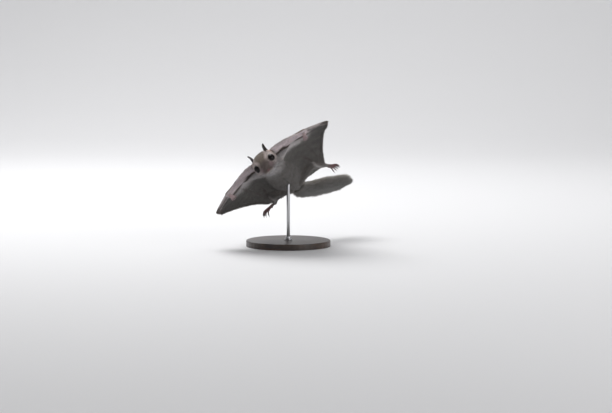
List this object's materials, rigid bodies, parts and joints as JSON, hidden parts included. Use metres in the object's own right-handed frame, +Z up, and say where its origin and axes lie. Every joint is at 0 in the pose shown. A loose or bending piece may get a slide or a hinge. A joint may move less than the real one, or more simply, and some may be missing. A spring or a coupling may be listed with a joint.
{
  "type": "flying squirrel",
  "caption": "Life-size flying squirrel gliding with limbs and membranes spread, on a plain round stand with a rod",
  "frame": {"origin": "centre of the stand's underside", "axes": "+Z up; the animal glides towards -Y, banked with its left side raised towards +X"},
  "size_m": [0.1881, 0.2318, 0.171],
  "materials": {
    "face_fur": "short dense fur, brown grey, matt",
    "back_fur": "soft dense fur, grey brown above and grey below, matt",
    "under_fur": "thin fur on a skin membrane, dark grey with a light fringe, matt",
    "tail_fur": "long soft hair combed flat to both sides, matt",
    "bare_skin": "bare skin with fine hair, pink to reddish brown, with dark horn claws",
    "ear_skin": "thin dark skin with short hair",
    "eye": "glossy black",
    "stand": "dark satin stain",
    "rod": "satin"
  },
  "bodies": {
    "root": {"head": "face_fur", "neck": "back_fur", "torso": "back_fur", "tail": "tail_fur", "ear_left": "ear_skin", "eye_left": "eye", "upper_arm_left": "back_fur", "forearm_left": "back_fur", "thigh_left": "back_fur", "shank_left": "back_fur", "hand_left": "bare_skin", "foot_left": "bare_skin", "patagium_left": "under_fur", "propatagium_left": "under_fur", "uropatagium_left": "under_fur", "ear_right": "ear_skin", "eye_right": "eye", "upper_arm_right": "back_fur", "forearm_right": "back_fur", "thigh_right": "back_fur", "shank_right": "back_fur", "hand_right": "bare_skin", "foot_right": "bare_skin", "patagium_right": "under_fur", "propatagium_right": "under_fur", "uropatagium_right": "under_fur", "stand_base": "stand", "stand_rod": "rod"}
  },
  "joints": []
}
